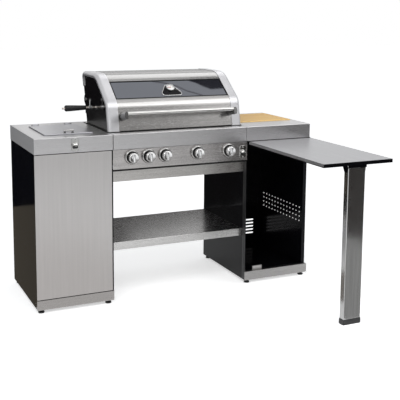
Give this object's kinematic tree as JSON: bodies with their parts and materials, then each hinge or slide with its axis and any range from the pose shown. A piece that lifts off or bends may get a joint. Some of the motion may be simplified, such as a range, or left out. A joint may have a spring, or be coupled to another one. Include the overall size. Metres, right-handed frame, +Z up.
{
  "type": "barbecue island",
  "caption": "Stainless and black outdoor gas barbecue island with a hinged window hood, side burner, cutting board, cabinets, shelf and a fold-out table leaf on a leg.",
  "frame": {"origin": "on the ground, under the middle of the whole object's bounding box", "axes": "+X along the front to the right, -Y out of the front, +Z up"},
  "size_m": [1.596, 1.313, 1.192],
  "materials": {
    "stainless": "satin brushed stainless",
    "black_enamel": "gloss black enamel",
    "cast_alloy": "satin silver casting",
    "polished_chrome": "polished",
    "black_iron": "matt enamelled cast iron",
    "plain_steel": "plain steel",
    "gas_brass": "plain",
    "dark_glass": "tinted and glossy",
    "board_wood": "oiled pale hardwood",
    "black_plastic": "satin black",
    "needle_red": "satin"
  },
  "bodies": {
    "island": {"left_worktop": "stainless", "grill_surround": "stainless", "control_panel": "stainless", "shelf": "stainless", "bay_rails": "stainless", "left_plinth": "stainless", "right_plinth": "stainless", "right_worktop": "stainless", "leaf_hinge": "stainless", "left_outer_side": "black_enamel", "left_inner_side": "black_enamel", "left_back": "black_enamel", "left_floor": "black_enamel", "right_inner_side": "black_enamel", "right_outer_side": "black_enamel", "right_back": "black_enamel", "right_floor": "black_enamel", "firebox": "black_enamel", "knob_bezels": "polished_chrome", "left_bottle_opener": "polished_chrome", "right_bottle_opener": "polished_chrome", "side_burner_head": "black_iron", "pan_support": "black_iron", "cooking_grates": "black_iron", "side_burner_bowl": "plain_steel", "main_burners": "plain_steel", "flame_tamers": "plain_steel", "warming_rack": "plain_steel", "hinge_pins": "plain_steel", "spit_bushings": "plain_steel", "door_catch": "plain_steel", "gas_manifold": "gas_brass", "levelling_feet": "black_plastic"},
    "left_door": {"left_door": "stainless"},
    "side_burner_lid": {"side_burner_lid": "stainless"},
    "hood": {"hood_front_skin": "stainless", "hood_top_skin": "stainless", "left_hood_cap": "cast_alloy", "right_hood_cap": "cast_alloy", "left_hood_side": "black_enamel", "right_hood_side": "black_enamel", "hood_window": "dark_glass", "hood_handle": "polished_chrome", "handle_posts": "black_plastic", "gauge_case": "polished_chrome"},
    "gauge_needle": {"gauge_needle": "needle_red"},
    "spit": {"spit_rod": "plain_steel", "spit_fittings": "plain_steel", "spit_handle": "black_plastic"},
    "main_knob_1": {"main_knob_1": "polished_chrome"},
    "main_knob_2": {"main_knob_2": "polished_chrome"},
    "main_knob_3": {"main_knob_3": "polished_chrome"},
    "main_knob_4": {"main_knob_4": "polished_chrome"},
    "side_burner_knob": {"side_burner_knob": "polished_chrome"},
    "grease_tray": {"grease_tray": "plain_steel"},
    "cutting_board": {"cutting_board": "board_wood"},
    "table_leaf": {"table_leaf": "stainless", "leg_bracket": "plain_steel"},
    "table_leg": {"table_leg": "polished_chrome", "leg_foot": "black_plastic"}
  },
  "joints": [
    {"name": "door_swing", "type": "hinge", "parent": "island", "child": "left_door", "pos_m": [-0.792, 0.1095, 0.445], "axis": [0, 0, -1], "range_deg": [0, 110]},
    {"name": "lid_lift", "type": "hinge", "parent": "island", "child": "side_burner_lid", "pos_m": [-0.593, 0.5445, 0.906], "axis": [-1, 0, 0], "range_deg": [0, 27]},
    {"name": "hood_lift", "type": "hinge", "parent": "island", "child": "hood", "pos_m": [0, 0.5865, 1.035], "axis": [-1, 0, 0], "range_deg": [0, 80]},
    {"name": "needle_turn", "type": "hinge", "parent": "hood", "child": "gauge_needle", "pos_m": [0, 0.26563, 1.12056], "axis": [0, 0.5973, -0.802], "range_deg": [0, 180]},
    {"name": "spit_turn", "type": "hinge", "parent": "island", "child": "spit", "pos_m": [0, 0.3965, 1.01], "axis": [1, 0, 0], "continuous": true},
    {"name": "main_knob_1_turn", "type": "hinge", "parent": "island", "child": "main_knob_1", "pos_m": [-0.29, 0.0965, 0.778], "axis": [0, -1, 0], "range_deg": [0, 120]},
    {"name": "main_knob_2_turn", "type": "hinge", "parent": "island", "child": "main_knob_2", "pos_m": [-0.103, 0.0965, 0.778], "axis": [0, -1, 0], "range_deg": [0, 120]},
    {"name": "main_knob_3_turn", "type": "hinge", "parent": "island", "child": "main_knob_3", "pos_m": [0.084, 0.0965, 0.778], "axis": [0, -1, 0], "range_deg": [0, 120]},
    {"name": "main_knob_4_turn", "type": "hinge", "parent": "island", "child": "main_knob_4", "pos_m": [0.271, 0.0965, 0.778], "axis": [0, -1, 0], "range_deg": [0, 120]},
    {"name": "side_knob_turn", "type": "hinge", "parent": "island", "child": "side_burner_knob", "pos_m": [-0.1965, 0.0965, 0.778], "axis": [0, -1, 0], "range_deg": [0, 120]},
    {"name": "tray_slide", "type": "slide", "parent": "island", "child": "grease_tray", "axis": [0, 1, 0], "range_m": [0, 0.4]},
    {"name": "board_lift", "type": "slide", "parent": "island", "child": "cutting_board", "axis": [0, 0, 1], "range_m": [0, 0.1]},
    {"name": "leaf_lift", "type": "hinge", "parent": "island", "child": "table_leaf", "pos_m": [0.596, 0.093, 0.8175], "axis": [-1, 0, 0], "range_deg": [0, 15]},
    {"name": "leg_fold", "type": "hinge", "parent": "table_leaf", "child": "table_leg", "pos_m": [0.593, -0.629, 0.783], "axis": [1, 0, 0], "range_deg": [0, 90]}
  ]
}
